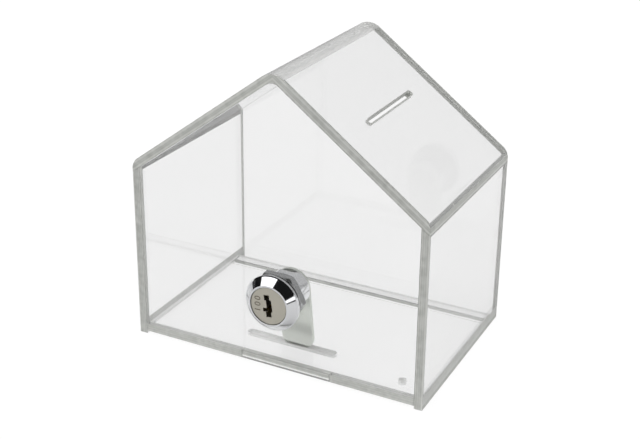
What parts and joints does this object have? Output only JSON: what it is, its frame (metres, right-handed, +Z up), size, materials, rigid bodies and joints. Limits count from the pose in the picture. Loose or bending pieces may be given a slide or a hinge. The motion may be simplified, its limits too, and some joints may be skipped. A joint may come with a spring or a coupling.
{
  "type": "ballot box",
  "caption": "Clear house-shaped ballot box with a slot in the roof, a loose base plate and a cam lock that pins the plate.",
  "frame": {"origin": "on the ground under the centre of the whole outline, lock bezel included", "axes": "+X to the right seen from the lock side, along the front; +Y to the back; +Z up"},
  "size_m": [0.12, 0.0818, 0.1152],
  "materials": {
    "clear_sheet": "clear polished",
    "clear_panel": "clear polished",
    "clear_base": "clear polished",
    "chrome_housing": "polished",
    "satin_plug": "satin",
    "plated_steel": "satin",
    "brass_wafer": "plain",
    "spring_steel": "plain"
  },
  "bodies": {
    "box": {"bent_sheet": "clear_sheet", "left_wall": "clear_sheet", "right_wall": "clear_sheet", "front_panel": "clear_panel", "back_panel": "clear_panel", "rear_ledge": "clear_panel", "lock_housing": "chrome_housing", "lock_washer": "plated_steel", "lock_nut": "plated_steel"},
    "lock_rotor": {"lock_plug": "satin_plug", "wafer_1": "brass_wafer", "wafer_2": "brass_wafer", "wafer_3": "brass_wafer", "wafer_4": "brass_wafer", "wafer_5": "brass_wafer", "wafer_spring_1": "spring_steel", "wafer_spring_2": "spring_steel", "wafer_spring_3": "spring_steel", "wafer_spring_4": "spring_steel", "wafer_spring_5": "spring_steel", "plug_retainer": "spring_steel", "stop_washer": "plated_steel", "cam": "plated_steel", "cam_spring_washer": "spring_steel", "cam_screw": "plated_steel"},
    "base": {"base_plate": "clear_base"}
  },
  "joints": [
    {"name": "lock_turn", "type": "hinge", "parent": "box", "child": "lock_rotor", "pos_m": [0, -0.0371, 0.0282], "axis": [0, -1, 0], "range_deg": [-8, 82]},
    {"name": "base_slide", "type": "slide", "parent": "box", "child": "base", "axis": [0, 1, 0], "range_m": [0, 0.0007]}
  ]
}
